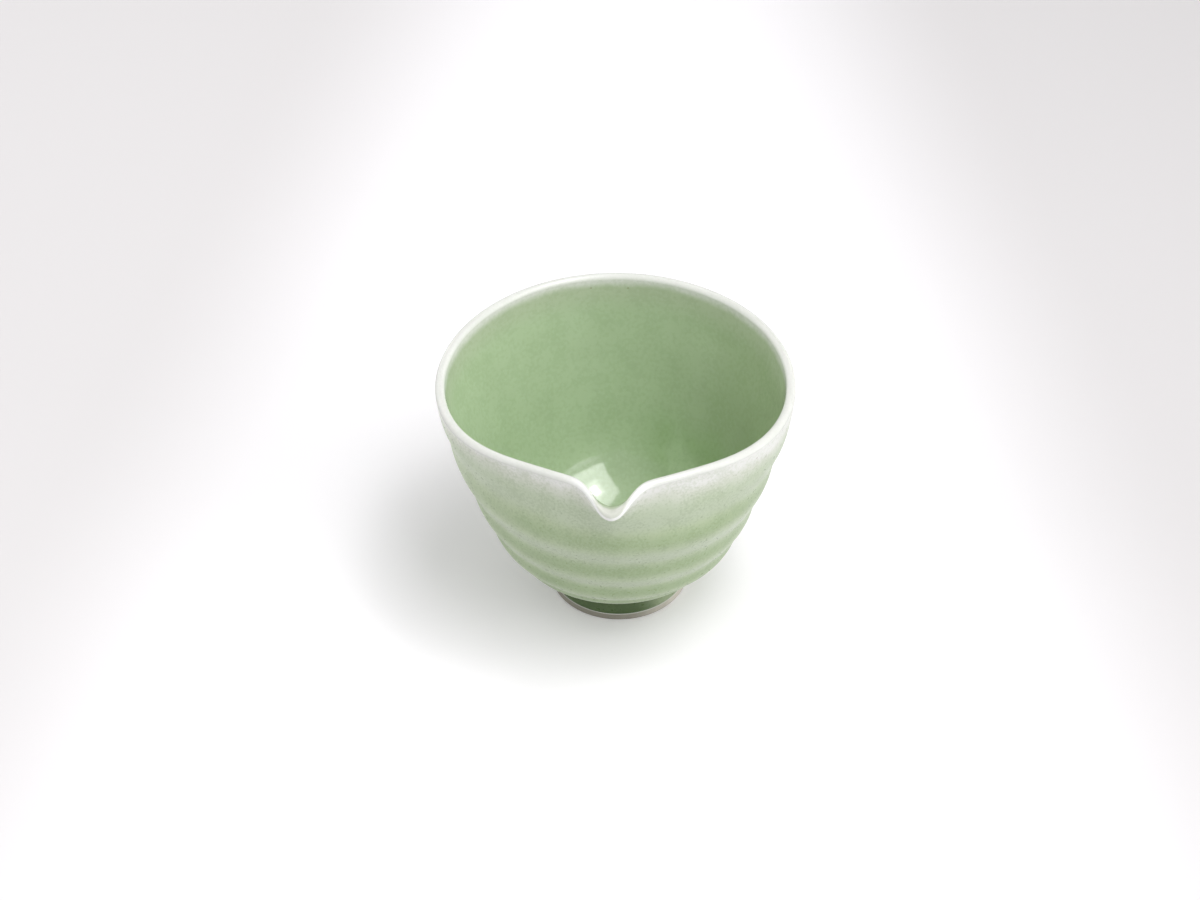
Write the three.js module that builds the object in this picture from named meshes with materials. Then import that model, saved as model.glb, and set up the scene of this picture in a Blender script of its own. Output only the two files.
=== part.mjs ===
// Tea pitcher: a small pouring bowl thrown in porcelain and glazed in pale green celadon.
// Millimetres, +Z up, with the lip towards -Y. The bowl is drawn round the middle of its foot, and
// the last lines move the origin to the middle of its outline, on the table. Radii and heights are
// those of the glazed surface, except on the bare foot.
import * as THREE from 'three';

// Overall size
const height = 79.5; // table to the rim, away from the lip
const rimRadius = 54.9;
const footRadius = 21.7;
const footHeight = 8.6; // table to where the wall leaves the foot
const footNeckRadius = 20.4;
const lean = 0.8; // how far the rim stands off the foot's middle, towards -X

// Wall, seen in section
const rimThickness = 2.9;
const bellyThickness = 4.4;
const undersideAngle = 36; // degrees above level, where the wall leaves the foot
const undersideReach = 23; // how far the wall keeps to that direction
const rimAngle = 71.8; // degrees above level, at the rim
const rimReach = 68.2;
const turnIn = 2.2; // how far the last of the wall is drawn in
const turnInHeight = 18.3;
const floorHeight = 10.6; // table to the middle of the floor inside
const innerWallEnd = 0.72; // share of the wall, from the rim, where the floor takes over inside
const floorReach = 17; // how far the floor stays nearly level
const heelReach = 13; // how far the wall keeps its slope on its way down to the floor

// Throwing spiral: one groove that runs down the wall
const spiralTurns = 4.54;
const spiralStart = -0.78; // turns, at the rim over the lip
const grooveDepth = 0.85;
const grooveNarrowness = 1.3;
const grooveStart = [0.03, 0.14]; // shares of the wall, from the rim, between which the groove comes in
const grooveEnd = [0.85, 0.97]; // and between which it fades out above the foot

// Pouring lip, pulled out between two dents
const lipDepth = 26; // how far down the wall the lip's shape reaches
const tipPull = 5.25; // outwards
const tipDrop = 4.7;
const tipAngle = 5.6; // degrees round the rim, to where the pull has faded to 0.6
const leftDent = 6.5; // inwards, on the -X side
const rightDent = 5.4;
const dentAngle = 24; // degrees from the lip's middle to the deepest point of a dent
const dentOuterSpread = 22.5;
const dentInnerSpread = 29;
const dentBlend = 10; // degrees each side of the lip's middle where one dent gives way to the other
const dentRise = 1.5; // the rim rises beside the lip
// Powers that say how fast the lip's shape fades down the wall
const pullFade = 4;
const dropFade = 6;
const riseFade = 2;

// Foot ring and the well inside it
const footRingWidth = 3.6; // the flat that stands on the table, with its two bevels
const footBevel = 0.5;
const neckReach = 1.6; // how far the hollow under the belly keeps the wall's slope
const footSideReach = 3.4;
const wellDepth = 5.4;
const wellTaper = 0.8;
const wellRound = 1.6;

// Glaze: thin at the rim, deeper in the grooves, and wiped off the foot below a line
const outerGlaze = 0.3;
const pooledGlaze = 0.25;
const linerGlaze = 0.4;
const wellGlaze = 0.3;
const rimGlaze = 0.12;
const glazeLine = 2.4; // table to the glaze's lower edge, on the foot's side
const wellGlazeLine = 1.8;

// Facets
const columnCount = 48;
const lipColumnSpacing = 0.35; // spacing at the lip, as a share of the mean spacing
const lipRows = 5;
const outerRows = 17;
const innerRows = 6;
const floorRows = 4;
const rimRows = 6;
const footRows = 4;
const lipZone = 0.1; // share of the wall, from the rim, that gets the close rows and the thinning glaze
const slopeStep = 0.001; // share of the wall over which its slope is taken

const rimEnd = height - rimThickness / 2; // where the wall ends and the round of the rim starts
const wallCurve = new THREE.CubicBezierCurve(
  new THREE.Vector2(footNeckRadius, footHeight),
  along(footNeckRadius, footHeight, undersideAngle, undersideReach),
  along(rimRadius + turnIn, rimEnd, rimAngle, -rimReach),
  new THREE.Vector2(rimRadius + turnIn, rimEnd),
);

// A point in the section plane (x is the radius, y the height), a distance away at an angle above level.
function along(radius, level, angle, distance) {
  const slope = THREE.MathUtils.degToRad(angle);
  return new THREE.Vector2(radius + distance * Math.cos(slope), level + distance * Math.sin(slope));
}

function bell(offset, spread) {
  return Math.exp(-0.5 * (offset / spread) ** 2);
}

// The wall as thrown, with no grooves and no lip. Share is 0 at the rim and 1 at the foot.
function thrownWall(share) {
  const point = wallCurve.getPoint(Math.sqrt(1 - share));
  const rise = THREE.MathUtils.clamp(1 - (rimEnd - point.y) / turnInHeight, 0, 1);
  point.x -= turnIn * rise * rise;
  return point;
}

// The same wall with its lip. Angle is in degrees round the rim from the lip, positive towards +X.
function shapedWall(angle, share) {
  const point = thrownWall(share);
  const reach = THREE.MathUtils.clamp(1 - (rimEnd - point.y) / lipDepth, 0, 1);
  const side = THREE.MathUtils.smoothstep(angle, -dentBlend, dentBlend);
  const dent = THREE.MathUtils.lerp(leftDent, rightDent, side);
  const past = Math.abs(angle) - dentAngle;
  const dented = bell(past, past > 0 ? dentOuterSpread : dentInnerSpread);
  const pulled = bell(angle, tipAngle);
  const pull = tipPull * pulled * reach ** pullFade;
  const drop = tipDrop * pulled * reach ** dropFade;
  const rise = dentRise * dented * (1 - pulled) * reach ** riseFade;
  point.x += pull - dent * dented * THREE.MathUtils.smoothstep(reach, 0, 1);
  point.y += rise - drop;
  return point;
}

// The groove runs round once for each turn, and fades out below the rim and above the foot.
function groove(angle, share) {
  const turn = spiralStart + spiralTurns * share - angle / 360;
  const wave = (0.5 + 0.5 * Math.cos(2 * Math.PI * turn)) ** grooveNarrowness;
  const fadeIn = THREE.MathUtils.smoothstep(share, ...grooveStart);
  const fadeOut = 1 - THREE.MathUtils.smoothstep(share, ...grooveEnd);
  return wave * fadeIn * fadeOut;
}

// A point that lies a depth inside the wall, measured square to it.
function insideWall(angle, share, depth) {
  const lower = Math.min(share + slopeStep, 1);
  const up = shapedWall(angle, lower - slopeStep).sub(shapedWall(angle, lower)).normalize();
  const point = shapedWall(angle, share);
  return new THREE.Vector2(point.x - up.y * depth, point.y + up.x * depth);
}

function outerGlazeThickness(angle, share) {
  const covered = THREE.MathUtils.smoothstep(share, 0, lipZone);
  const body = outerGlaze + pooledGlaze * groove(angle, share);
  return THREE.MathUtils.lerp(rimGlaze, body, covered);
}

function linerThickness(share) {
  return THREE.MathUtils.lerp(rimGlaze, linerGlaze, THREE.MathUtils.smoothstep(share, 0, lipZone));
}

function wallThickness(share) {
  return THREE.MathUtils.lerp(rimThickness, bellyThickness, share);
}

// Outside of the wall: the glazed skin, or with clay true the porcelain under it.
function outerPoint(angle, share, clay) {
  const glaze = clay ? outerGlazeThickness(angle, share) : 0;
  return insideWall(angle, share, grooveDepth * groove(angle, share) + glaze);
}

function innerPoint(angle, share, clay) {
  const glaze = clay ? linerThickness(share) : 0;
  return insideWall(angle, share, wallThickness(share) - glaze);
}

// The floor inside, from the wall's last row to the middle. Share is 0 at the wall and 1 in the middle.
function floorPoint(angle, share, clay) {
  const last = innerPoint(angle, innerWallEnd, clay);
  const before = innerPoint(angle, innerWallEnd - slopeStep, clay);
  const down = last.clone().sub(before).normalize();
  const middle = floorHeight - (clay ? linerGlaze : 0);
  const floor = new THREE.CubicBezierCurve(
    last,
    last.clone().addScaledVector(down, heelReach),
    new THREE.Vector2(floorReach, middle),
    new THREE.Vector2(0, middle),
  );
  return floor.getPoint(share);
}

// The foot's side, from the wall down to the glaze line, as a hollow neck that widens to the table.
function footSide(angle, share, clay) {
  const start = outerPoint(angle, 1, clay);
  const spread = (footRadius - footNeckRadius) / footHeight;
  const glaze = clay ? outerGlaze : 0;
  const end = new THREE.Vector2(footRadius + outerGlaze - spread * glazeLine - glaze, glazeLine);
  const side = new THREE.CubicBezierCurve(
    start,
    along(start.x, start.y, undersideAngle, -neckReach),
    new THREE.Vector2(end.x - spread * footSideReach, end.y + footSideReach),
    end,
  );
  return side.getPoint(share);
}

// The well under the floor, from its glaze line up its side and in to the middle.
function wellPath(clay) {
  const glaze = clay ? 0 : wellGlaze;
  const mouth = footRadius - footRingWidth - glaze;
  const ceiling = wellDepth - glaze;
  const bend = mouth - wellTaper * (1 - wellRound / wellDepth);
  const corner = wellRound * (1 - Math.SQRT1_2);
  return [
    new THREE.Vector2(mouth - (wellTaper * wellGlazeLine) / wellDepth, wellGlazeLine),
    new THREE.Vector2(bend, ceiling - wellRound),
    new THREE.Vector2(bend - corner, ceiling - corner),
    new THREE.Vector2(bend - wellRound, ceiling),
    new THREE.Vector2(bend / 2, ceiling),
    new THREE.Vector2(0, ceiling),
  ];
}

// Columns stand closest together at the lip, where the wall bends most.
const columns = Array.from({ length: columnCount }, (_, index) => {
  const side = (2 * index) / columnCount - 1;
  return 180 * side * (lipColumnSpacing + (1 - lipColumnSpacing) * Math.abs(side));
});

function placed(point, angle) {
  const turn = THREE.MathUtils.degToRad(angle);
  const shift = (lean * point.y) / height;
  return new THREE.Vector3(point.x * Math.sin(turn) - shift, -point.x * Math.cos(turn), point.y);
}

// One row of the mesh: a ring of points, or a single point where it closes on the axis.
function ring(pointAt) {
  return columns.map((angle) => placed(pointAt(angle), angle));
}

function flatRing(radius, level) {
  return ring(() => new THREE.Vector2(radius, level));
}

function shares(count, from, to) {
  return Array.from({ length: count }, (_, index) => from + ((to - from) * (index + 1)) / count);
}

const lipShares = [0, ...shares(lipRows, 0, 1).map((step) => lipZone * step * step)];

function outerWall(clay) {
  const all = [...lipShares, ...shares(outerRows, lipZone, 1)];
  return all.map((share) => ring((angle) => outerPoint(angle, share, clay)));
}

function footSideRows(clay) {
  return shares(footRows, 0, 1).map((share) => ring((angle) => footSide(angle, share, clay)));
}

// Inside, from the middle of the floor up to the rim.
function inside(clay) {
  const wall = [...lipShares, ...shares(innerRows, lipZone, innerWallEnd)];
  const wallRings = wall.map((share) => ring((angle) => innerPoint(angle, share, clay)));
  const floor = shares(floorRows, 0, 1).slice(0, -1);
  const floorRings = floor.map((share) => ring((angle) => floorPoint(angle, share, clay)));
  const middle = [placed(floorPoint(0, 1, clay), 0)];
  return [...wallRings, ...floorRings, middle].reverse();
}

// The round of the rim, a half circle in section from the inside to the outside.
function rimRound() {
  const steps = shares(rimRows, 0, Math.PI).slice(0, -1);
  return steps.map((step) => ring((angle) => {
    const outer = outerPoint(angle, 0, true);
    const inner = innerPoint(angle, 0, true);
    const half = inner.clone().sub(outer).multiplyScalar(0.5);
    const up = new THREE.Vector2(half.y, -half.x);
    const middle = outer.clone().add(half);
    return middle.addScaledVector(half, Math.cos(step)).addScaledVector(up, Math.sin(step));
  }));
}

// The bare foot ring, from the glaze line outside to the well's glaze line.
function bareFoot() {
  const innerEdge = footRadius - footRingWidth;
  return [
    flatRing(footRadius, footBevel),
    flatRing(footRadius - footBevel, 0),
    flatRing(innerEdge + footBevel, 0),
    flatRing(innerEdge, footBevel),
  ];
}

function well(clay) {
  const path = wellPath(clay);
  return path.map((point) => (point.x === 0 ? [placed(point, 0)] : flatRing(point.x, point.y)));
}

// Joins the rows into one closed mesh. A four-sided facet is split along its shorter diagonal.
function skin(rows, wrap) {
  const points = [];
  const faces = [];
  const indexed = rows.map((row) => row.map((point) => points.push(point) - 1));
  const pairs = indexed.slice(1).map((row, index) => [indexed[index], row]);
  if (wrap) pairs.push([indexed.at(-1), indexed[0]]);
  for (const [upper, lower] of pairs) {
    for (let column = 0; column < columnCount; column += 1) {
      const next = (column + 1) % columnCount;
      const [a, b] = upper.length > 1 ? [upper[column], upper[next]] : [upper[0], upper[0]];
      const [c, d] = lower.length > 1 ? [lower[column], lower[next]] : [lower[0], lower[0]];
      faces.push(...facet(points, a, b, c, d));
    }
  }
  const geometry = new THREE.BufferGeometry().setFromPoints(points);
  geometry.setIndex(faces);
  geometry.computeVertexNormals();
  return geometry;
}

function facet(points, a, b, c, d) {
  if (a === b) return [a, c, d];
  if (c === d) return [a, c, b];
  const first = points[a].distanceTo(points[d]);
  const second = points[b].distanceTo(points[c]);
  return first < second ? [a, c, d, a, d, b] : [a, c, b, b, c, d];
}

function piece(name, geometry, colour, roughness) {
  const material = new THREE.MeshStandardMaterial({ color: colour, roughness, metalness: 0 });
  const mesh = new THREE.Mesh(geometry, material);
  mesh.name = name;
  return mesh;
}

// One thrown and turned piece of porcelain: wall, pulled lip, floor and foot ring.
const clayRows = [
  ...inside(true), ...rimRound(), ...outerWall(true), ...footSideRows(true), ...bareFoot(), ...well(true),
];
// Each glaze coat runs over its visible side and back over the porcelain that carries it.
const outerGlazeRows = [
  ...outerWall(false), ...footSideRows(false), ...[...outerWall(true), ...footSideRows(true)].reverse(),
];
const linerRows = [...inside(false), ...inside(true).reverse()];
const wellGlazeRows = [...well(true).reverse(), ...well(false)];

const pitcher = new THREE.Group();
pitcher.add(
  piece('porcelain_body', skin(clayRows, false), '#efefea', 0.35),
  piece('outer_glaze', skin(outerGlazeRows, true), '#bccab0', 0.32),
  piece('liner_glaze', skin(linerRows, false), '#97b67f', 0.12),
  piece('foot_well_glaze', skin(wellGlazeRows, false), '#7f9a6c', 0.2),
);

const outline = new THREE.Box3().setFromObject(pitcher).getCenter(new THREE.Vector3());
pitcher.position.set(-outline.x, -outline.y, 0);

export default pitcher;
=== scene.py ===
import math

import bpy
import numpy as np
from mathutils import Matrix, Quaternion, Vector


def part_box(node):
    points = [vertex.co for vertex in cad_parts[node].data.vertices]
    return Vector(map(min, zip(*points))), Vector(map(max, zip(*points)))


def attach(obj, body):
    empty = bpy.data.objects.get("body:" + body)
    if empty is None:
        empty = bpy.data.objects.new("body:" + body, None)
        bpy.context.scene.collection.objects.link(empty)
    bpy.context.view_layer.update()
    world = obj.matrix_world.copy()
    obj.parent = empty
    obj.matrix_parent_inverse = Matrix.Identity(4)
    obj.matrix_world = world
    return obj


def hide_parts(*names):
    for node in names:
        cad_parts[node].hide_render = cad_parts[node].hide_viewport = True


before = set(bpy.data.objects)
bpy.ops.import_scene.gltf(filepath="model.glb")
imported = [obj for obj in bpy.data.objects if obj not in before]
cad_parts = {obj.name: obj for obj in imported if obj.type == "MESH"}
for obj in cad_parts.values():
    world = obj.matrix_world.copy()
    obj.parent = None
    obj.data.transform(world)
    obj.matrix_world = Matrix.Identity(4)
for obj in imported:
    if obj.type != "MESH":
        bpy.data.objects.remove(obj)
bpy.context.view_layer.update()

# Tea pitcher: a small porcelain bowl thrown on the wheel, with a pulled lip and pale green celadon.
# The pot is drawn in millimetres round the middle of its foot, with the lip towards -Y, and each
# mesh is turned into metres and moved to the part's frame when it is made. Radii and heights are
# those of the glazed surface, except on the bare foot. Angles are in degrees, and round the pot
# they start at the lip and are positive towards +X. A share of the wall is 0 at the rim and 1 at
# the foot. A reach is the distance from a curve's end to its handle.

MM = 0.001

# Overall size
HEIGHT = 79.5  # table to the rim, away from the lip
RIM_RADIUS = 54.9
FOOT_RADIUS = 21.7
FOOT_HEIGHT = 8.6  # table to where the wall leaves the foot
FOOT_NECK_RADIUS = 20.4
FOOT_TAPER = (FOOT_RADIUS - FOOT_NECK_RADIUS) / FOOT_HEIGHT
LEAN = 0.8  # how far the rim stands off the foot's middle, towards -X

# Wall, seen in section
RIM_THICKNESS = 2.9
RIM_END = HEIGHT - RIM_THICKNESS / 2  # where the wall ends and the round of the rim starts
BELLY_THICKNESS = 4.4
UNDERSIDE_ANGLE = 36  # above level, where the wall leaves the foot
UNDERSIDE_REACH = 23
RIM_ANGLE = 71.8
RIM_REACH = 68.2
TURN_IN = 2.2  # how far the last of the wall is drawn in
TURN_IN_HEIGHT = 18.3
FLOOR_HEIGHT = 10.6
INNER_WALL_END = 0.72  # share of the wall where the floor takes over inside
FLOOR_REACH = 17
HEEL_REACH = 13

# Throwing spiral. Starts and ends are the shares of the wall between which it comes in or fades.
SPIRAL_TURNS = 4.54
SPIRAL_START = -0.78  # in turns
GROOVE_DEPTH = 0.85
GROOVE_NARROWNESS = 1.3
GROOVE_START = (0.03, 0.14)
GROOVE_END = (0.85, 0.97)
POOL_LAG = 0.23  # turns of the spiral by which the pooled glaze lies below the groove
POOL_START = (0.05, 0.28)

# Pouring lip between its two dents
LIP_DEPTH = 26  # how far below the rim the lip and the dents reach
TIP_PULL = 5.24
TIP_DROP = 4.7
TIP_ANGLE = 5.6
TIP_SQUARENESS = 2.25  # 2 is a plain bell, and more has a flatter channel with steeper sides
LEFT_DENT = 6.5
RIGHT_DENT = 5.4
DENT_ANGLE = 24
DENT_OUTER_SPREAD = 22.5
DENT_INNER_SPREAD = 29
DENT_BLEND = 10
DENT_RISE = 1.5
PULL_FADE = 4  # these three powers say how fast the pull, the drop and the rise fade down the wall
DROP_FADE = 6
RISE_FADE = 2

# Foot ring and the well inside it
FOOT_RING_WIDTH = 3.6
FOOT_BEVEL = 0.5
NECK_REACH = 1.6
FOOT_SIDE_REACH = 3.4
WELL_DEPTH = 5.4
WELL_TAPER = 0.8
WELL_ROUND = 1.6
TRIM_RIPPLE = 0.05  # turning marks in the well
TRIM_PITCH = 1.9

# Glaze coats
OUTER_GLAZE = 0.3
POOLED_GLAZE = 0.25
LINER_GLAZE = 0.4
WELL_GLAZE = 0.3
RIM_GLAZE = 0.12
RIM_EDGE = 0.012  # the glaze thins to this at the rim, so that no step shows
LIP_ZONE = 0.1  # share of the wall over which it does so
GLAZE_LINE = 2.4
BEAD_START = 0.86  # share of the foot's side where the glaze begins to round over
BEAD_CLOSE = 0.97  # 1 would close the bead on the clay
FOOT_COAT_END = 0.3  # share of the foot's side where the coat has its full thickness
WELL_GLAZE_LINE = 1.8
WELL_GLAZE_EDGE = (-0.05, 0.8)  # distances from its line between which the well's glaze rises

# Sides of the pot where a tone changes, some of them as painted light or shade: the middle of the side and
# its spread
NARROW_BAND = 2.0  # millimetres by which the pale band below the rim is narrower to the lip's left
NARROW_SIDE = (-75, 35)
WIDE_BAND = 1.8  # and wider to its right, as painted light on the side that faces the lamps
WIDE_SIDE = (48, 32)
LINER_SHADE_SIDE = (105, 32)  # painted shade on the liner, on the side away from the key lamp
LINER_SHADE_FLOOR_END = (0.1, 0.9)  # shares of the floor, from the wall inwards, between which that ends
FOOT_LIT_SIDE = (68, 30)  # painted light on the foot's side that faces the lamps, and painted shade round the rest
LIP_FLOOR_SPREAD = 6
RIM_TURNOVER = (0.3, 0.5)  # shares of the rim's round between which it turns from inside to outside

# Marks of the hand: the wall runs slightly out of true, and fine throwing lines cross it
WAVES = (  # lobes round the pot, depth, start, twist up the wall, and 1 where it grows with height
    (2, 0.55, 0.9, 2.2, 0),
    (3, 0.3, -1.1, 0, 1),
    (5, 0.15, 0, 6, 0),
)
WAVER = 0.12
WAVER_MARGIN = 0.07  # drawn in everywhere away from the lip, so that the pot stays inside its solids
RIM_WAVER = 0.2
LINE_PITCH = 2.3
WIDE_PITCH = 1.61  # pitch of the wide lines over that of the close ones
CLOSE_DEPTH = 0.6  # depth of the close lines over that of the wide ones
LINE_DEPTH = 0.006
LINE_START = (0.02, 0.12)
LINE_END = (0.55, 0.7)

# Mesh
COLUMNS = 320
LIP_COLUMN_SPACING = 0.35  # distance between columns at the lip over the mean distance
OUTER_ROWS = 216
INNER_ROWS = 150
FLOOR_ROWS = 50
CLOSE_ROWS = 20  # hidden rows just below the rim, where the glaze is thinnest
HIDDEN_ROWS = 40  # and below them, down to the foot
EDGE_ROWS = 8  # hidden rows down the foot's side, and in each part of the well
FOOT_ROWS = 26
RIM_ROWS = 20
BEVEL_ROWS = 5
WELL_ROWS = 20
LENGTH_STEPS = 4001  # points for measuring along the wall
RIM_STEPS = 200
SLOPE_STEP = 0.001  # share of the wall over which its slope is measured
SHARP_ANGLE = 40

# What the materials can ask of a point on the surface
POINT_VALUES = (
    "rim",  # millimetres down the wall from the rim, or in the well from its glaze line
    "pool",  # 1 where the glaze has run together below a groove
    "foot",  # share of the way down the foot's side
    "bare",  # 1 on clay without glaze
    "lip",  # 1 on the floor of the lip's channel
    "lip_edge",  # 1 on the outer edge of the lip, where a highlight is painted
    "thick",  # 1 where the liner has painted shade
    "dark",  # 0 on the foot's side with painted light and 1 on the rest, where shade is painted
)


def clamp(value):
    return np.clip(value, 0, 1)


def smooth(value, start, end):
    """0 before the start, 1 after the end and a smooth change between them."""
    share = clamp((value - start) / (end - start))
    return share * share * (3 - 2 * share)


def mix(first, second, share):
    return first + (second - first) * share


def bell(offset, spread):
    return np.exp(-0.5 * (offset / spread) ** 2)


def side_bell(angle, middle, spread):
    """A bell round the pot, with the two ends of the turn joined."""
    return bell((angle - middle + 180) % 360 - 180, spread)


def pair(radius, level):
    """One or more points in the section plane."""
    return np.stack(np.broadcast_arrays(np.asarray(radius, float), np.asarray(level, float)), axis=-1)


def along(point, angle, distance):
    """A point in the section plane, a distance away from another at an angle above level."""
    slope = math.radians(angle)
    return point + distance * np.array([math.cos(slope), math.sin(slope)])


def bezier(points, share):
    """A point on the curve between the first and the last of four points. The others are handles."""
    start, first_handle, second_handle, end = points
    gone = np.asarray(share, float)[..., None]
    left = 1 - gone
    near = start * left ** 3 + 3 * first_handle * gone * left ** 2
    return near + 3 * second_handle * gone ** 2 * left + end * gone ** 3


FOOT_NECK = pair(FOOT_NECK_RADIUS, FOOT_HEIGHT)
RIM_POINT = pair(RIM_RADIUS + TURN_IN, RIM_END)
WALL = (
    FOOT_NECK,
    along(FOOT_NECK, UNDERSIDE_ANGLE, UNDERSIDE_REACH),
    along(RIM_POINT, RIM_ANGLE, -RIM_REACH),
    RIM_POINT,
)


def thrown_wall(share):
    """The wall as thrown, with no grooves and no lip."""
    point = bezier(WALL, np.sqrt(1 - share))
    rise = clamp(1 - (RIM_END - point[..., 1]) / TURN_IN_HEIGHT)
    point[..., 0] -= TURN_IN * rise ** 2
    return point


def waver(angle, level):
    """How far the wall is drawn in where it runs out of true, from 0 to 1."""
    turn = np.radians(angle)
    height = level / HEIGHT
    waves = 0
    for lobes, depth, start, twist, growth in WAVES:
        waves = waves + depth * np.sin(lobes * turn + start + twist * height) * height ** growth
    return 0.5 + 0.5 * waves


def shaped_wall(angle, share):
    """The thrown wall with its lip, its two dents and its waver."""
    thrown = thrown_wall(share)
    radius, level = thrown[..., 0], thrown[..., 1]
    reach = clamp(1 - (RIM_END - level) / LIP_DEPTH)
    dent = mix(LEFT_DENT, RIGHT_DENT, smooth(angle, -DENT_BLEND, DENT_BLEND))
    past = np.abs(angle) - DENT_ANGLE
    dented = bell(past, np.where(past > 0, DENT_OUTER_SPREAD, DENT_INNER_SPREAD))
    pulled = np.exp(-0.5 * np.abs(angle / TIP_ANGLE) ** TIP_SQUARENESS)
    pull = TIP_PULL * pulled * reach ** PULL_FADE
    drop = TIP_DROP * pulled * reach ** DROP_FADE
    rise = DENT_RISE * dented * (1 - pulled) * reach ** RISE_FADE
    away = 1 - bell(angle, 2 * DENT_OUTER_SPREAD)
    drawn_in = (WAVER_MARGIN + WAVER * waver(angle, level)) * away
    out = pull - dent * dented * smooth(reach, 0, 1) - drawn_in
    up = rise - drop - RIM_WAVER * waver(2 * angle, level) * away * reach ** RISE_FADE
    return pair(radius + out, level + up)


def spiral(angle, share, start):
    """A wave down the wall, 1 along each turn of the spiral and 0 between two turns."""
    turn = start + SPIRAL_TURNS * share - angle / 360
    return (0.5 + 0.5 * np.cos(2 * np.pi * turn)) ** GROOVE_NARROWNESS


def groove(angle, share):
    """One spiral groove that fades out below the rim and above the foot."""
    fade = smooth(share, *GROOVE_START) * (1 - smooth(share, *GROOVE_END))
    return spiral(angle, share, SPIRAL_START) * fade


def pool(angle, share):
    """Where the glaze has run together and is greener: on the lower side of the groove."""
    fade = smooth(share, *POOL_START) * (1 - smooth(share, *GROOVE_END))
    return spiral(angle, share, SPIRAL_START - POOL_LAG) * fade


def inside_wall(angle, share, depth):
    """A point that lies a depth inside the wall, measured square to it."""
    lower = np.minimum(share + SLOPE_STEP, 1)
    up = shaped_wall(angle, lower - SLOPE_STEP) - shaped_wall(angle, lower)
    up /= np.linalg.norm(up, axis=-1, keepdims=True)
    return shaped_wall(angle, share) + pair(-up[..., 1], up[..., 0]) * np.asarray(depth)[..., None]


def outer_glaze_thickness(angle, share):
    body = OUTER_GLAZE + POOLED_GLAZE * groove(angle, share)
    return mix(RIM_EDGE, body, smooth(share, 0, LIP_ZONE))


def liner_thickness(share):
    return mix(RIM_EDGE, LINER_GLAZE, smooth(share, 0, LIP_ZONE))


def fine_lines(angle, share):
    """Fine throwing lines, as a depth: two spirals that cross, one with a close pitch and one wider."""
    level = thrown_wall(share)[..., 1]
    close = np.sin(2 * np.pi * (level / LINE_PITCH - angle / 360))
    wide = np.sin(2 * np.pi * (level / LINE_PITCH / WIDE_PITCH + angle / 360))
    fade = smooth(share, *LINE_START) * (1 - smooth(share, *LINE_END))
    return LINE_DEPTH * fade * (CLOSE_DEPTH * close + wide)


def outer_point(angle, share, clay):
    """The pot's outside, on the clay or on the glaze over it."""
    depth = GROOVE_DEPTH * groove(angle, share)
    depth = depth + (outer_glaze_thickness(angle, share) if clay else fine_lines(angle, share))
    return inside_wall(angle, share, depth)


def inner_point(angle, share, clay):
    """The wall's inside, on the clay or on the glaze over it."""
    depth = mix(RIM_THICKNESS, BELLY_THICKNESS, share)
    depth = depth - (liner_thickness(share) if clay else fine_lines(angle, share))
    return inside_wall(angle, share, depth + 0 * angle)


def floor_point(angle, share, clay):
    """The floor inside, from the wall's last row (share 0) to the middle (share 1)."""
    last = inner_point(angle, INNER_WALL_END, clay)
    before = inner_point(angle, INNER_WALL_END - SLOPE_STEP, clay)
    down = (last - before) / np.linalg.norm(last - before, axis=-1, keepdims=True)
    middle = FLOOR_HEIGHT - (LINER_GLAZE if clay else 0)
    points = (last, last + HEEL_REACH * down, pair(FLOOR_REACH, middle), pair(0, middle))
    return bezier(points, share)


def foot_side(angle, share, clay):
    """The foot's side, from the wall (share 0) to the glaze line (share 1). The glaze ends in a bead."""
    start = outer_point(angle, 1.0, clay)
    end = pair(FOOT_RADIUS - FOOT_TAPER * GLAZE_LINE, GLAZE_LINE)
    points = (
        start,
        along(start, UNDERSIDE_ANGLE, -NECK_REACH),
        end + pair(-FOOT_TAPER * FOOT_SIDE_REACH, FOOT_SIDE_REACH),
        end,
    )
    side = bezier(points, share)
    if not clay:
        bead = OUTER_GLAZE * np.sqrt(1 - smooth(share, BEAD_START, 1.0) ** 2 * BEAD_CLOSE)
        side[..., 0] += bead * smooth(share, 0, FOOT_COAT_END)
    return side


def foot_ring():
    """The bare foot: its side, two rounded edges and the flat that stands on the table."""
    levels = np.linspace(GLAZE_LINE, FOOT_BEVEL, BEVEL_ROWS)[1:]
    turns = np.linspace(0, math.pi / 2, BEVEL_ROWS)
    down = FOOT_BEVEL * (1 - np.sin(turns))
    corner = FOOT_RADIUS - FOOT_TAPER * FOOT_BEVEL - FOOT_BEVEL
    inner_edge = FOOT_RADIUS - FOOT_RING_WIDTH
    side = pair(FOOT_RADIUS - FOOT_TAPER * levels, levels)
    outer_bevel = pair(corner + FOOT_BEVEL * np.cos(turns), down)
    inner_bevel = pair(inner_edge + FOOT_BEVEL * (1 - np.cos(turns)), down)
    return np.concatenate([side, outer_bevel[1:], inner_bevel[::-1]])


def well_path(count):
    """The clay in the well, from its glaze line up its side, round the corner and in to the middle."""
    mouth = FOOT_RADIUS - FOOT_RING_WIDTH
    bend = mouth - WELL_TAPER * (1 - WELL_ROUND / WELL_DEPTH)
    turn = np.linspace(0, math.pi / 2, count)
    corner = pair(bend - WELL_ROUND * (1 - np.cos(turn)), WELL_DEPTH - WELL_ROUND * (1 - np.sin(turn)))
    rise = np.linspace(0, 1, count)[:-1, None]
    side = mix(pair(mouth - WELL_TAPER * WELL_GLAZE_LINE / WELL_DEPTH, WELL_GLAZE_LINE), corner[0], rise)
    inward = np.linspace(corner[-1, 0], 0, 2 * count)[1:]
    ripple = TRIM_RIPPLE * np.sin(2 * np.pi * inward / TRIM_PITCH) * smooth(inward, 0, 2 * TRIM_PITCH)
    return np.concatenate([side, corner, pair(inward, WELL_DEPTH + ripple)])


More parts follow.
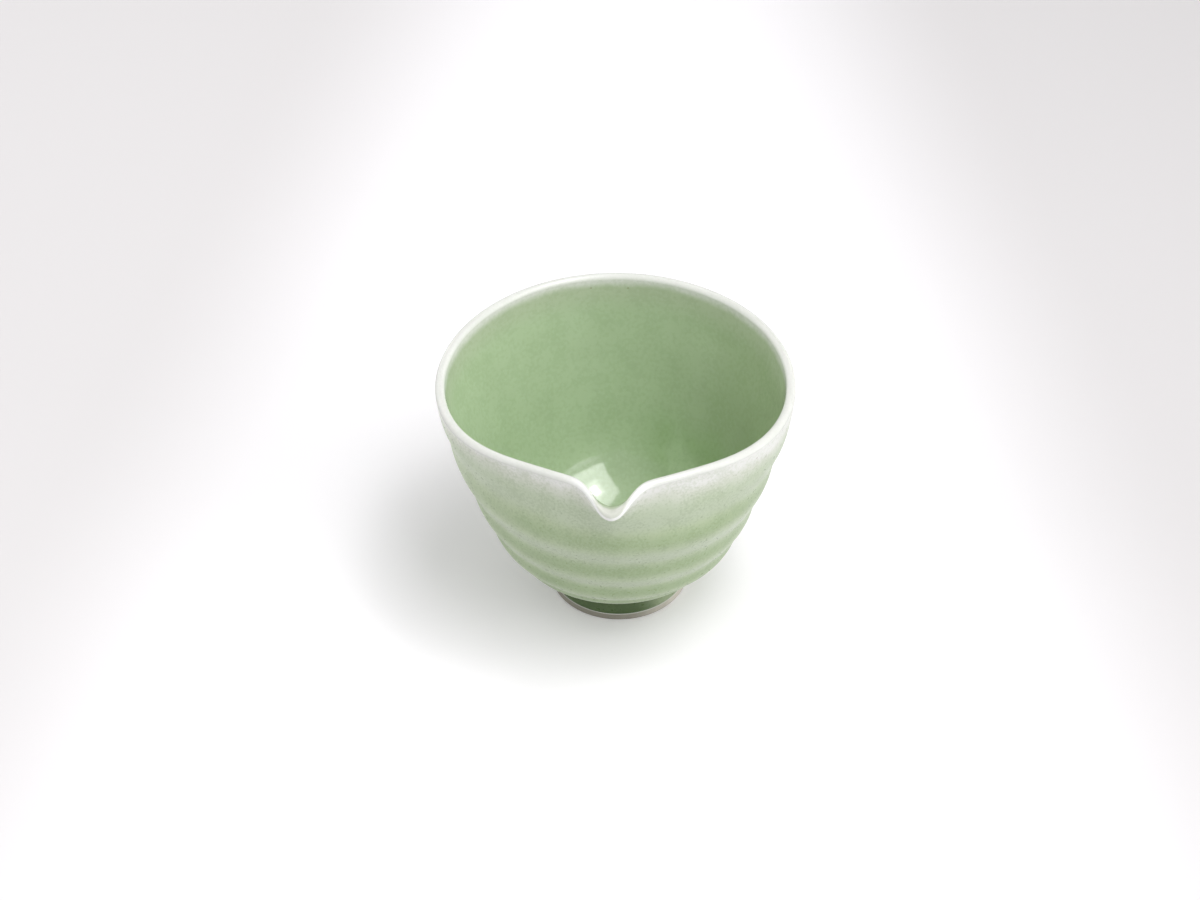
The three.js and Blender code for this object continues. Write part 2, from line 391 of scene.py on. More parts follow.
ANGLES = np.array([
    180 * side * (LIP_COLUMN_SPACING + (1 - LIP_COLUMN_SPACING) * abs(side))
    for side in 2 * np.arange(COLUMNS) / COLUMNS - 1
])


def placed(points):
    """Section points, one for each column or the same for all, as a ring round the foot's middle."""
    turn = np.radians(ANGLES)
    radius, level = np.broadcast_to(points, (COLUMNS, 2)).T
    shift = LEAN * level / HEIGHT
    return np.stack([radius * np.sin(turn) - shift, -radius * np.cos(turn), level], axis=-1)


def wall_lengths(shares):
    """Distances along the thrown wall, one from each share to the next."""
    return np.linalg.norm(np.diff(thrown_wall(shares), axis=0), axis=1)


def even_shares(count, start, end):
    """Shares of the wall at equal distances along it."""
    dense = 1 - np.linspace(math.sqrt(1 - start), math.sqrt(1 - end), LENGTH_STEPS) ** 2
    length = np.concatenate([[0], np.cumsum(wall_lengths(dense))])
    return np.interp(np.linspace(0, length[-1], count + 1), length, dense)


def rim_distance(share):
    """Millimetres down the wall from the rim, on the wall as thrown."""
    dense = 1 - np.linspace(1, math.sqrt(1 - share), RIM_STEPS) ** 2
    return float(wall_lengths(dense).sum())


def lip_floor():
    """1 on the middle of the lip's channel and 0 away from it."""
    return bell(ANGLES, LIP_FLOOR_SPREAD)


def liner_shade_side():
    """1 where the liner has painted shade, round the side to the right of the lip."""
    return side_bell(ANGLES, *LINER_SHADE_SIDE)


def shaded_foot_side():
    """0 on the foot's right, where light is painted, and 1 elsewhere, where shade is painted."""
    return 1 - side_bell(ANGLES, *FOOT_LIT_SIDE)


class Rows:
    """Rings of points and what the materials need to know at each: one value a ring and column."""

    def __init__(self):
        self.points = []
        self.values = {name: [] for name in POINT_VALUES}

    def add(self, points, **values):
        self.points.append(placed(points))
        for name in POINT_VALUES:
            self.values[name].append(np.broadcast_to(values.get(name, 0.0), (COLUMNS,)))

    def middle(self, level):
        """Closes the rows in a single point on the axis."""
        self.points.append(placed(pair(0, level))[:1])
        for values in self.values.values():
            values.append(values[-1][:1])


def add_outside(rows, shares, clay):
    narrower = NARROW_BAND * side_bell(ANGLES, *NARROW_SIDE)
    # the band widened on the right is painted light
    wider = WIDE_BAND * side_bell(ANGLES, *WIDE_SIDE)
    for share in shares:
        below = rim_distance(share) + narrower - wider
        rows.add(outer_point(ANGLES, share, clay), rim=below, pool=pool(ANGLES, share))


def add_foot_side(rows, count, clay):
    far = rim_distance(1)
    for share in np.linspace(0, 1, count + 1)[1:]:
        # the foot's side carries the mask of its painted light and shade
        rows.add(foot_side(ANGLES, share, clay), rim=far, foot=share, dark=shaded_foot_side())


def add_inside(rows, shares, clay):
    for share in shares:
        points = inner_point(ANGLES, share, clay)
        rows.add(points, rim=rim_distance(share), lip=lip_floor(), thick=liner_shade_side())


def add_floor(rows, count, clay):
    """The floor without its middle. The painted shade of one side fades out towards the middle."""
    far = rim_distance(INNER_WALL_END)
    for share in np.linspace(0, 1, count + 1)[1:-1]:
        thick = liner_shade_side() * (1 - smooth(share, *LINER_SHADE_FLOOR_END))
        rows.add(floor_point(ANGLES, share, clay), rim=far, thick=thick)


def add_rim(rows):
    """The round of the rim, from the inside to the outside: half an ellipse in section."""
    outer = outer_point(ANGLES, 0.0, clay=True)
    inner = inner_point(ANGLES, 0.0, clay=True)
    half = (inner - outer) / 2
    up = pair(half[:, 1], -half[:, 0])
    up *= (RIM_THICKNESS / 2 - RIM_GLAZE) / np.linalg.norm(up, axis=1, keepdims=True)
    for turn in np.linspace(0, math.pi, RIM_ROWS + 1)[1:-1]:
        outward = smooth(turn / math.pi, *RIM_TURNOVER)
        points = outer + half + half * math.cos(turn) + up * math.sin(turn)
        # a painted highlight along the lip's outer edge
        lip_edge = bell(ANGLES, 2 * LIP_FLOOR_SPREAD) * outward
        rows.add(points, lip=lip_floor() * (1 - outward), lip_edge=lip_edge)


def add_bare(rows, path):
    """Bare clay with the same section all round."""
    for point in path:
        # bare clay carries the mask of the foot's painted light and shade
        rows.add(point, bare=1, dark=shaded_foot_side())


def add_clay_outside(rows):
    """The clay under the outer coat. Both have these faces, so that the coat lies on the clay."""
    add_outside(rows, [*CLOSE_SHARES, *even_shares(HIDDEN_ROWS, LIP_ZONE, 1)[1:]], clay=True)
    add_foot_side(rows, EDGE_ROWS, clay=True)


def add_clay_inside(rows):
    """The clay under the liner. Both have these faces."""
    below = even_shares(HIDDEN_ROWS // 2, LIP_ZONE, INNER_WALL_END)[1:]
    add_inside(rows, [*CLOSE_SHARES, *below], clay=True)
    add_floor(rows, FLOOR_ROWS // 2, clay=True)
    rows.middle(FLOOR_HEIGHT - LINER_GLAZE)


def add_clay_well(rows):
    """The clay under the well's glaze. Both have these faces."""
    add_bare(rows, well_path(EDGE_ROWS)[:-1])
    rows.middle(WELL_DEPTH)


def reversed_rows(rows):
    turned = Rows()
    turned.points = rows.points[::-1]
    turned.values = {name: values[::-1] for name, values in rows.values.items()}
    return turned


def joined(first, second):
    both = Rows()
    both.points = first.points + second.points
    both.values = {name: first.values[name] + second.values[name] for name in POINT_VALUES}
    return both


def skin(name, rows, wrap):
    """One closed mesh through the rows, in metres in the part's frame, with the values as attributes."""
    starts = np.cumsum([0] + [len(ring) for ring in rows.points])
    order = np.arange(COLUMNS)
    after = np.roll(order, -1)
    last = len(rows.points) - 1
    joins = [(index, index + 1) for index in range(last)] + ([(last, 0)] if wrap else [])
    faces = []
    for above, below in joins:
        first, second = starts[above], starts[below]
        if len(rows.points[above]) == 1:
            corners = (np.full(COLUMNS, first), second + order, second + after)
        elif len(rows.points[below]) == 1:
            corners = (first + order, np.full(COLUMNS, second), first + after)
        else:
            corners = (first + order, second + order, second + after, first + after)
        faces += np.stack(corners, axis=1).tolist()
    mesh = bpy.data.meshes.new(name)
    mesh.from_pydata(((np.concatenate(rows.points) + FOOT_MIDDLE) * MM).tolist(), [], faces)
    for key, values in rows.values.items():
        attribute = mesh.attributes.new(key, "FLOAT", "POINT")
        attribute.data.foreach_set("value", np.concatenate(values).astype(np.float32))
    mesh.shade_smooth()
    mesh.set_sharp_from_angle(angle=math.radians(SHARP_ANGLE))
    piece = bpy.data.objects.new(name, mesh)
    bpy.context.scene.collection.objects.link(piece)
    return piece


def foot_middle():
    """The middle of the foot in the part's frame, in millimetres, from where the well's glaze is."""
    low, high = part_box("foot_well_glaze")
    middle = (low + high) / 2 / MM
    shift = LEAN * low.z / MM / HEIGHT
    return np.array([middle.x + shift, middle.y, 0])


FOOT_MIDDLE = foot_middle()
CLOSE_SHARES = even_shares(CLOSE_ROWS, 0, LIP_ZONE)


def make_porcelain():
    inside, outside = Rows(), Rows()
    add_clay_inside(inside)
    add_rim(outside)
    add_clay_outside(outside)
    add_bare(outside, foot_ring())
    add_clay_well(outside)
    return skin("porcelain_pot", joined(reversed_rows(inside), outside), wrap=False)


def make_outer_glaze():
    shown, hidden = Rows(), Rows()
    add_outside(shown, even_shares(OUTER_ROWS, 0, 1), clay=False)
    add_foot_side(shown, FOOT_ROWS, clay=False)
    add_clay_outside(hidden)
    return skin("outer_glaze_coat", joined(shown, reversed_rows(hidden)), wrap=True)


def make_liner():
    shown, hidden = Rows(), Rows()
    add_inside(shown, even_shares(INNER_ROWS, 0, INNER_WALL_END), clay=False)
    add_floor(shown, FLOOR_ROWS, clay=False)
    shown.middle(FLOOR_HEIGHT)
    add_clay_inside(hidden)
    return skin("liner_glaze_coat", joined(reversed_rows(shown), hidden), wrap=False)


def make_well_glaze():
    clay = well_path(WELL_ROWS)
    slope = np.gradient(clay, axis=0)
    slope /= np.linalg.norm(slope, axis=1, keepdims=True)
    run = np.concatenate([[0], np.cumsum(np.linalg.norm(np.diff(clay, axis=0), axis=1))])
    thickness = WELL_GLAZE * np.sqrt(smooth(run, *WELL_GLAZE_EDGE))
    surface = clay + pair(-slope[:, 1], slope[:, 0]) * thickness[:, None]
    shown, hidden = Rows(), Rows()
    for point, distance in zip(surface[:-1], run):
        shown.add(point, rim=distance)
    shown.middle(surface[-1, 1])
    add_clay_well(hidden)
    return skin("well_glaze_coat", joined(reversed_rows(hidden), shown), wrap=False)


def linear(colour):
    """An 8-bit screen colour as the linear colour that a shader takes."""
    shares = np.array(colour) / 255
    return (*np.where(shares < 0.04045, shares / 12.92, ((shares + 0.055) / 1.055) ** 2.4), 1.0)


NOISE_SPAN = (0.3, 0.7)  # a noise has nearly all its values between these


class Shader:
    """A Principled material and short ways to add its nodes."""

    def __init__(self, name, **sockets):
        self.material = bpy.data.materials.new(name)
        self.material.use_nodes = True
        self.tree = self.material.node_tree
        self.surface = self.tree.nodes["Principled BSDF"]
        for socket, value in sockets.items():
            self.surface.inputs[socket.replace("_", " ")].default_value = value
        self.place = self.add("ShaderNodeTexCoord").outputs["Object"]

    def add(self, kind, inputs=None, **settings):
        node = self.tree.nodes.new(kind)
        for name, value in settings.items():
            setattr(node, name, value)
        for name, value in (inputs or {}).items():
            self.set(node.inputs[name], value)
        return node

    def set(self, socket, value):
        if isinstance(value, bpy.types.NodeSocket):
            self.tree.links.new(value, socket)
        else:
            socket.default_value = value

    def attribute(self, name):
        return self.add("ShaderNodeAttribute", attribute_name=name).outputs["Fac"]

    def noise(self, size, detail=2.0, stretch=(1, 1, 1)):
        """Noise whose spots are about size millimetres across, times the stretch."""
        scale = [1 / (size * MM * share) for share in stretch]
        place = self.add("ShaderNodeVectorMath", {0: self.place, 1: scale}, operation="MULTIPLY").outputs[0]
        inputs = {"Vector": place, "Scale": 1.0, "Detail": detail}
        return self.add("ShaderNodeTexNoise", inputs).outputs["Fac"]

    def math(self, operation, first, second=0.0):
        return self.add("ShaderNodeMath", {0: first, 1: second}, operation=operation).outputs[0]

    def range(self, value, start, end, low=0.0, high=1.0):
        """A smooth change from low to high while the value goes from start to end."""
        inputs = {"Value": value, "From Min": start, "From Max": end, "To Min": low, "To Max": high}
        return self.add("ShaderNodeMapRange", inputs, interpolation_type="SMOOTHSTEP").outputs["Result"]

    def wobble(self, value, *noises):
        """A value moved up or down by each noise, by up to about half the amount given with it."""
        for noise, amount in noises:
            moved = self.math("MULTIPLY", self.math("SUBTRACT", noise, 0.5), amount)
            value = self.math("ADD", value, moved)
        return value

    def ramp(self, value, tones):
        node = self.add("ShaderNodeValToRGB", {"Fac": value})
        elements = node.color_ramp.elements
        while len(elements) < len(tones):
            elements.new(0.5)
        for element, (position, colour) in zip(elements, tones):
            element.position = position
            element.color = linear(colour)
        return node.outputs["Color"]

    def blend(self, share, first, second, blend_type="MIX"):
        node = self.add("ShaderNodeMix", data_type="RGBA", blend_type=blend_type)
        self.set(node.inputs["Factor"], share)
        self.set(node.inputs[6], first)
        self.set(node.inputs[7], second)
        return node.outputs[2]

    def sheen(self, size, low, high):
        """A roughness that varies from spot to spot."""
        return self.range(self.noise(size), *NOISE_SPAN, low, high)

    def bump(self, height, depth):
        """Raises the surface by depth millimetres where the height is 1."""
        inputs = {"Height": height, "Distance": depth * MM, "Strength": 1.0}
        return self.add("ShaderNodeBump", inputs).outputs["Normal"]

    def peel(self, fine, broad, ratio, depth):
        """The uneven skin of a glaze: fine dimples, and broad ones that are deeper by the ratio."""
        height = self.math("ADD", self.noise(fine), self.math("MULTIPLY", self.noise(broad), ratio))
        return self.bump(height, depth)

    def finish(self, colour, roughness=None, normal=None):
        self.set(self.surface.inputs["Base Color"], colour)
        if roughness is not None:
            self.set(self.surface.inputs["Roughness"], roughness)
        if normal is not None:
            self.set(self.surface.inputs["Normal"], normal)
        return self.material


# Colours, as they show on a screen
RIM_WHITE = (228, 229, 224)
# painted highlight on the lip's outer edge
LIP_HIGHLIGHT_WHITE = (250, 250, 248)
BAND_WHITE = (240, 240, 236)
BAND_SHADE = (221, 224, 212)
RIDGE_GREEN = (194, 206, 180)
GLAZE_GREEN = (184, 199, 165)
POOL_GREEN = (166, 185, 144)
LIP_SHADE = (214, 216, 206)
# dark green where the glaze lies thick on the foot, made darker still as painted shade under the bowl
FOOT_GREEN = (75, 97, 53)
FOOT_LIT_GREEN = (160, 174, 140)  # painted light on the foot's right, which faces the lamps
LINER_FADE = (184, 197, 168)
LINER_GREEN = (182, 203, 166)
LINER_DEEP = (176, 197, 159)
# painted shade on the liner's side away from the key lamp
LINER_SHADED = (162, 180, 142)
LINER_DEEP_SHADE = (150, 180, 126)  # painted shade, deepest low on the side away from the key lamp
WELL_GREEN = (150, 178, 128)
BARE_CLAY = (212, 206, 195)
# painted shade on the bare foot away from the lamps
SHADED_CLAY = (150, 146, 134)
IRON_BROWN = (120, 100, 70)
MOTTLE_SHADE = (214, 222, 206)  # darkens what it is multiplied with

# What the glazes share. A noise is given by its size in millimetres, its detail and its stretch,
# a sheen by the size of its spots and its lowest and highest roughness, and a peel by its fine
# and broad size, how much deeper the broad one is, and how deep the fine one is.
GLAZE_IOR = 1.5
MOTTLE_SIZE = 0.8
CLOUD_NOISE = (7.0, 3.0)
CLOUD_SHARE = 0.4  # how much of the mottling is cloudy, and the rest is fine
MOTTLE_SPAN = (0.42, 0.62)
SPECK_EDGE = (0.15, 0.5)  # distances from a speck's middle between which it fades
SPECK_STRENGTH = 0.36
LIP_FLOOR_FADE = (0.5, 0.85)  # values of "lip" between which the channel's floor takes its shade

# Outer glaze. A drift and a fray are how far a slow and a fine noise move an edge between tones.
OUTER_DRIFT = (9.0, 3.0, (1, 1, 1.6))
OUTER_FINE = (1.3, 2.0, (1, 1, 2.2))
BAND_DRIFT = 5.0
BAND_FRAY = 2.0
BAND_FADE = (4.0, 12.0)  # millimetres below the rim between which the pale band turns into the body
BAND_REACH = 10  # millimetres below the rim that make 1 in the band's tones
BAND_TONES = ((0.08, BAND_WHITE), (0.32, BAND_SHADE), (0.8, RIDGE_GREEN))
POOL_DRIFT = 0.35
POOL_FRAY = 0.12
BODY_TONES = ((0.0, RIDGE_GREEN), (0.42, GLAZE_GREEN), (0.95, POOL_GREEN))
FOOT_SHADE_FADE = (0.2, 0.8)  # values of the foot's shade mask between which the foot turns from painted light to painted shade
FOOT_FADE = (0.0, 0.35)  # shares of the foot's side between which it takes its own colour
OUTER_MOTTLE = 0.44
OUTER_SPECKS = ((42.71, -29.29, 75.88),)
OUTER_SHEEN = (1.1, 0.27, 0.4)
OUTER_PEEL = (0.75, 3.4, 2.2, 0.009)

# Liner
LINER_IOR = 1.6
LINER_SHINE = 0.85
LINER_DRIFT = (12.0, 3.0)
LINER_FINE = 1.2
EDGE_DRIFT = 2.5
EDGE_FRAY = 0.8
WHITE_START = 0.1  # millimetres below the rim where the white edge begins to turn green
WHITE_END = (3.3, 1.6)  # and where it has turned, away from the lip and in its channel
WHITE_END_FADE = (0.3, 0.8)
FADE_ZONE = (2.0, 13.0)  # millimetres below the rim between which the paler green turns into the body
LINER_TONES = ((0.35, LINER_GREEN), (0.7, LINER_DEEP))
# painted shade on the liner's side away from the key lamp
LINER_SHADE_STRENGTH = 0.9
DEEP_SHADE_ZONE = (16, 2)  # millimetres above the floor between which the deeper painted shade comes in
DEEP_SHADE_SIDE = (0.0, 0.35)
DEEP_SHADE_STRENGTH = 0.6
LINER_MOTTLE = 0.24
LINER_MOTTLE_SIZE = 1.3
LINER_SPECKS = ((-8.96, 52.03, 75.58), (2.73, 52.66, 75.24))
LINER_SHEEN = (2.0, 0.07, 0.13)
LINER_PEEL = (1.0, 6.0, 4.0, 0.004)

# Porcelain
CLAY_SHADE_NOISE = (4.0, 3.0)
CLAY_SHADE_DRIFT = 0.5
CLAY_TONES = ((0.1, BARE_CLAY), (0.9, SHADED_CLAY))
LIP_HIGHLIGHT_FADE = (0.3, 0.8)
CLAY_MOTTLE = 0.12
CLAY_ROUGHNESS = (0.16, 0.82)  # where glaze covers it and where it is bare
GRAIN_NOISE = (0.35, 3.0)
GRAIN_SHARE = (0.15, 1.0)
GRAIN_DEPTH = 0.03

# Glaze in the well
WELL_DRIFT = (5.0, 3.0)
WELL_EDGE_DRIFT = 1.0
WELL_EDGE_FADE = (0.1, 1.2)
WELL_TONES = ((0.35, WELL_GREEN), (0.7, LINER_DEEP))
WELL_MOTTLE = 0.16
WELL_SHEEN = (2.0, 0.14, 0.22)
WELL_PEEL_SIZE = 1.0
WELL_PEEL_DEPTH = 0.008


def mottled(shader, colour, amount, size=MOTTLE_SIZE):
    """The colour, slightly darker in some spots than in others."""
    spots = shader.math("MULTIPLY", shader.noise(size), 1 - CLOUD_SHARE)
    clouds = shader.math("MULTIPLY", shader.noise(*CLOUD_NOISE), CLOUD_SHARE)
    share = shader.range(shader.math("ADD", spots, clouds), *MOTTLE_SPAN, 0.0, amount)
    return shader.blend(share, colour, shader.blend(1.0, colour, linear(MOTTLE_SHADE), "MULTIPLY"))


def iron_specks(shader, colour, places):
    """Tiny iron specks that burnt through the glaze. Places are in millimetres in the part's frame."""
    for place in places:
        where = {0: shader.place, 1: tuple(np.array(place) * MM)}
        away = shader.add("ShaderNodeVectorMath", where, operation="DISTANCE").outputs["Value"]
        inner, outer = SPECK_EDGE
        spot = shader.range(away, inner * MM, outer * MM, SPECK_STRENGTH, 0.0)
        colour = shader.blend(spot, colour, linear(IRON_BROWN))
    return colour


def outer_celadon():
    """Satin glaze with a pale band below the rim that is widened on the right as painted light. It is
    greener where it pooled, and dark green on the foot where it lies thick, with painted shade there and
    painted light on the foot's right.
    """
    shader = Shader("outer_celadon", IOR=GLAZE_IOR)
    drift = shader.noise(*OUTER_DRIFT)
    fine = shader.noise(*OUTER_FINE)
    below = shader.wobble(shader.attribute("rim"), (drift, BAND_DRIFT), (fine, BAND_FRAY))
    pooled = shader.wobble(shader.attribute("pool"), (drift, POOL_DRIFT), (fine, POOL_FRAY))
    band = shader.ramp(shader.math("MULTIPLY", below, 1 / BAND_REACH), BAND_TONES)
    colour = shader.blend(shader.range(below, *BAND_FADE), band, shader.ramp(pooled, BODY_TONES))
    # painted shade on the foot, and painted light on its right
    dark = shader.range(shader.attribute("dark"), *FOOT_SHADE_FADE)
    foot_colour = shader.blend(dark, linear(FOOT_LIT_GREEN), linear(FOOT_GREEN))
    colour = shader.blend(shader.range(shader.attribute("foot"), *FOOT_FADE), colour, foot_colour)
    colour = iron_specks(shader, mottled(shader, colour, OUTER_MOTTLE), OUTER_SPECKS)
    return shader.finish(colour, shader.sheen(*OUTER_SHEEN), shader.peel(*OUTER_PEEL))


def liner_deep_shade(shader, rim, thick):
    """Where the liner's painted shade is deepest: low on the side away from the key lamp."""
    floor_start = rim_distance(INNER_WALL_END)
    start, end = DEEP_SHADE_ZONE
    low = shader.range(rim, floor_start - start, floor_start - end)
    return shader.math("MULTIPLY", low, shader.range(thick, *DEEP_SHADE_SIDE, 0.0, DEEP_SHADE_STRENGTH))


def liner_celadon():
    """Glossy glaze that turns from the rim's white into green, with painted shade on the side away from the
    key lamp, deepest low on that side.
    """
    shader = Shader("liner_celadon", IOR=LINER_IOR, Specular_IOR_Level=LINER_SHINE)
    rim, thick, lip = (shader.attribute(name) for name in ("rim", "thick", "lip"))
    drift = shader.noise(*LINER_DRIFT)
    below = shader.wobble(rim, (drift, EDGE_DRIFT), (shader.noise(LINER_FINE), EDGE_FRAY))
    body = shader.ramp(drift, LINER_TONES)
    # painted shade on the side away from the key lamp
    body = shader.blend(shader.math("MULTIPLY", thick, LINER_SHADE_STRENGTH), body, linear(LINER_SHADED))
    # deeper painted shade low on that side
    body = shader.blend(liner_deep_shade(shader, rim, thick), body, linear(LINER_DEEP_SHADE))
    body = shader.blend(shader.range(below, *FADE_ZONE), linear(LINER_FADE), body)
    edge = shader.blend(shader.range(lip, *LIP_FLOOR_FADE), linear(RIM_WHITE), linear(LIP_SHADE))
    white_end = shader.range(lip, *WHITE_END_FADE, *WHITE_END)
    colour = shader.blend(shader.range(below, WHITE_START, white_end), edge, body)
    colour = mottled(shader, colour, LINER_MOTTLE, LINER_MOTTLE_SIZE)
    colour = iron_specks(shader, colour, LINER_SPECKS)
    return shader.finish(colour, shader.sheen(*LINER_SHEEN), shader.peel(*LINER_PEEL))


def porcelain():
    """White under the thin glaze of the rim, with a painted highlight on the lip's outer edge. It is rough
    where the foot is bare, with painted shade on the bare clay away from the lamps.
    """
    shader = Shader("porcelain", IOR=GLAZE_IOR)
    bare = shader.attribute("bare")
    # painted shade on the bare clay, with a noisy edge
    clay_shade = shader.wobble(shader.attribute("dark"), (shader.noise(*CLAY_SHADE_NOISE), CLAY_SHADE_DRIFT))
    # painted highlight on the lip's outer edge
    painted_highlight = shader.range(shader.attribute("lip_edge"), *LIP_HIGHLIGHT_FADE)
    white = shader.blend(painted_highlight, linear(RIM_WHITE), linear(LIP_HIGHLIGHT_WHITE))
    channel = shader.range(shader.attribute("lip"), *LIP_FLOOR_FADE)
    white = shader.blend(channel, white, linear(LIP_SHADE))
    colour = shader.blend(bare, white, shader.ramp(clay_shade, CLAY_TONES))
    rough = shader.range(bare, 0.0, 1.0, *CLAY_ROUGHNESS)
    grain = shader.noise(*GRAIN_NOISE)
    height = shader.math("MULTIPLY", grain, shader.range(bare, 0.0, 1.0, *GRAIN_SHARE))
    return shader.finish(mottled(shader, colour, CLAY_MOTTLE), rough, shader.bump(height, GRAIN_DEPTH))


def well_celadon():
    """The glaze in the well, which thins out to the clay's colour at its line."""
    shader = Shader("well_celadon", IOR=GLAZE_IOR)
    drift = shader.noise(*WELL_DRIFT)
    below = shader.wobble(shader.attribute("rim"), (drift, WELL_EDGE_DRIFT))
    body = shader.ramp(drift, WELL_TONES)
    colour = shader.blend(shader.range(below, *WELL_EDGE_FADE), linear(BARE_CLAY), body)
    normal = shader.bump(shader.noise(WELL_PEEL_SIZE), WELL_PEEL_DEPTH)
    return shader.finish(mottled(shader, colour, WELL_MOTTLE), shader.sheen(*WELL_SHEEN), normal)


def dress(piece, node, material):
    """Gives a piece its material, hangs it on the root body and hides the part that it stands for."""
    piece.data.materials.append(material)
    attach(piece, "root")
    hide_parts(node)


# Studio, in metres
WHITE = (1, 1, 1, 1)
FLOOR_RADIUS = 6.0
FLOOR_SIDES = 64
FLOOR_ROUGHNESS = 0.9
FLOOR_WHITE = (253, 251, 254)
FLOOR_FAR = (222, 219, 220)  # well to the sides of the pot, as painted shade away from the lit strip
FLOOR_GREY = (205, 205, 205)  # the floor's colour for the light that it throws back up
FLOOR_LIFT = 0.07  # light that the floor gives where it is seen, so that it shows near white
WHITE_STRIP = (0.085, 0.2)  # distances to the side between which the floor turns from white to its painted shade
STRIP_SPREAD = 0.2  # by which each side of the white strip widens for each metre towards -Y
STRIP_NOISE = 400.0  # millimetres
STRIP_DRIFT = 0.1
SKY_STRENGTH = 0.42

# Lamps: name, place, size and brightness, where 1 is as bright as white paper under a white sky
LAMP_POWER = 4  # watts for each square metre of a lamp whose brightness is 1
LIT_POINT = (0, 0, 0.04)
KEY_AIM = (-2.255, 0.085, 0.093)  # puts their reflection where the photograph shows it
KEY_TURN = -30.4  # degrees round that direction
KEY_LAMPS = (
    ("key_softbox", (0.223, -0.134, 1.093), (0.725, 1.074), 2.6),
    ("key_glow", (0.27, -0.07, 0.985), (0.3, 0.46), 1.6),
    ("key_core", (0.27, -0.07, 0.98), (0.12, 0.24), 8.0),
)
FILL_LAMPS = (
    ("side_softbox", (0.95, -0.6, 0.85), (1.2, 1.0), 0.4),
    ("front_softbox", (0.95, -0.95, 0.6), (1.0, 1.0), 0.6),
    ("left_reflector", (-1.3, -0.3, 0.35), (1.0, 0.5), 2.0),
    ("right_reflector", (1.3, -0.4, 0.25), (1.0, 0.4), 2.3),
    ("back_softbox", (-0.9, 0.95, 0.6), (1.0, 1.0), 0.8),
    ("right_back_softbox", (0.9, 0.95, 0.6), (1.0, 1.0), 0.3),
)

# Camera, in millimetres and degrees
CAMERA_PLACE = (20.98, -730.0, 684.2)  # from the foot's middle
CAMERA_TURN = 2.09
CAMERA_DOWN = 40.881
CAMERA_ROLL = -0.698
CAMERA_LENS = 93.85
CAMERA_SENSOR = 36
CAMERA_NEAR = 10


def seen_directly(shader):
    """1 for rays that show a thing, also in a mirror or through glass, and 0 for those that light."""
    rays = shader.add("ShaderNodeLightPath").outputs
    seen = rays["Is Camera Ray"]
    for name in ("Is Glossy Ray", "Is Transmission Ray"):
        seen = shader.math("MAXIMUM", seen, rays[name])
    return seen


def floor_white():
    """White along a strip under the pot, with painted shade greyer to its sides, and grey for the rays that
    light.
    """
    shader = Shader("floor_white", Roughness=FLOOR_ROUGHNESS, Emission_Color=WHITE)
    seen = seen_directly(shader)
    shader.set(shader.surface.inputs["Emission Strength"], shader.math("MULTIPLY", seen, FLOOR_LIFT))
    where = shader.add("ShaderNodeSeparateXYZ", {"Vector": shader.place}).outputs
    narrower = shader.math("MULTIPLY", where["Y"], STRIP_SPREAD)
    aside = shader.math("ADD", shader.math("ABSOLUTE", where["X"]), narrower)
    far = shader.wobble(shader.range(aside, *WHITE_STRIP), (shader.noise(STRIP_NOISE), STRIP_DRIFT))
    shown = shader.ramp(far, ((0.0, FLOOR_WHITE), (1.0, FLOOR_FAR)))
    return shader.finish(shader.blend(seen, linear(FLOOR_GREY), shown))


def make_floor():
    mesh = bpy.data.meshes.new("floor")
    turns = np.linspace(0, 2 * math.pi, FLOOR_SIDES, endpoint=False)
    edge = [(FLOOR_RADIUS * math.cos(turn), FLOOR_RADIUS * math.sin(turn), 0.0) for turn in turns]
    mesh.from_pydata(edge, [], [list(range(FLOOR_SIDES))])
    mesh.materials.append(floor_white())
    floor = bpy.data.objects.new("floor", mesh)
    bpy.context.scene.collection.objects.link(floor)


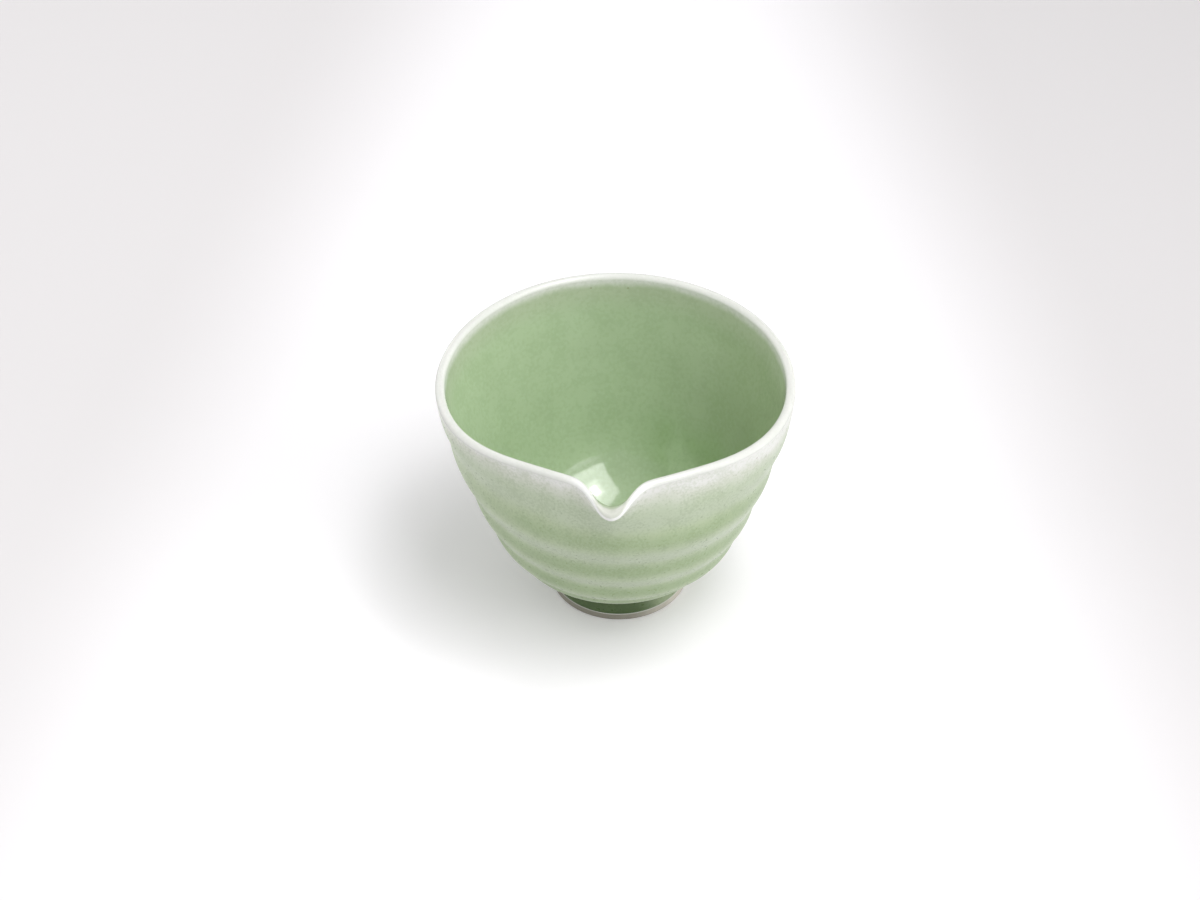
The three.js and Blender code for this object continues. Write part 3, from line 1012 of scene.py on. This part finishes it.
def make_sky():
    """An even white sky."""
    world = bpy.data.worlds.new("studio")
    world.use_nodes = True
    bpy.context.scene.world = world
    sky = world.node_tree.nodes["Background"]
    sky.inputs["Color"].default_value = WHITE
    sky.inputs["Strength"].default_value = SKY_STRENGTH


def area_light(name, place, size, brightness, aim, turned):
    """A softbox that faces its aim, turned round that direction."""
    light = bpy.data.lights.new(name, "AREA")
    light.shape = "RECTANGLE"
    light.size, light.size_y = size
    light.energy = brightness * LAMP_POWER * size[0] * size[1]
    lamp = bpy.data.objects.new(name, light)
    lamp.location = place
    facing = (Vector(aim) - Vector(place)).to_track_quat("-Z", "Y")
    lamp.rotation_euler = (facing @ Quaternion((0, 0, 1), math.radians(turned))).to_euler()
    bpy.context.scene.collection.objects.link(lamp)


def make_camera():
    camera = bpy.data.cameras.new("camera")
    camera.lens = CAMERA_LENS
    camera.sensor_width = CAMERA_SENSOR
    camera.clip_start = CAMERA_NEAR * MM
    eye = bpy.data.objects.new("camera", camera)
    down = math.radians(CAMERA_DOWN)
    turn = Matrix.Rotation(math.radians(CAMERA_TURN), 3, "Z")
    forward = turn @ Vector((0, math.cos(down), -math.sin(down)))
    right = turn @ Vector((1, 0, 0))
    level_down = turn @ Vector((0, -math.sin(down), -math.cos(down)))
    roll = math.radians(CAMERA_ROLL)
    across = right * math.cos(roll) - level_down * math.sin(roll)
    below = right * math.sin(roll) + level_down * math.cos(roll)
    place = (Vector(CAMERA_PLACE) + Vector(FOOT_MIDDLE)) * MM
    eye.matrix_world = Matrix.Translation(place) @ Matrix((across, -below, -forward)).transposed().to_4x4()
    bpy.context.scene.collection.objects.link(eye)
    bpy.context.scene.camera = eye


dress(make_porcelain(), "porcelain_body", porcelain())
dress(make_outer_glaze(), "outer_glaze", outer_celadon())
dress(make_liner(), "liner_glaze", liner_celadon())
dress(make_well_glaze(), "foot_well_glaze", well_celadon())
make_floor()
make_sky()
for key_lamp in KEY_LAMPS:
    area_light(*key_lamp, KEY_AIM, KEY_TURN)
for fill_lamp in FILL_LAMPS:
    area_light(*fill_lamp, LIT_POINT, 0)
make_camera()
bpy.context.scene.view_settings.view_transform = "Standard"
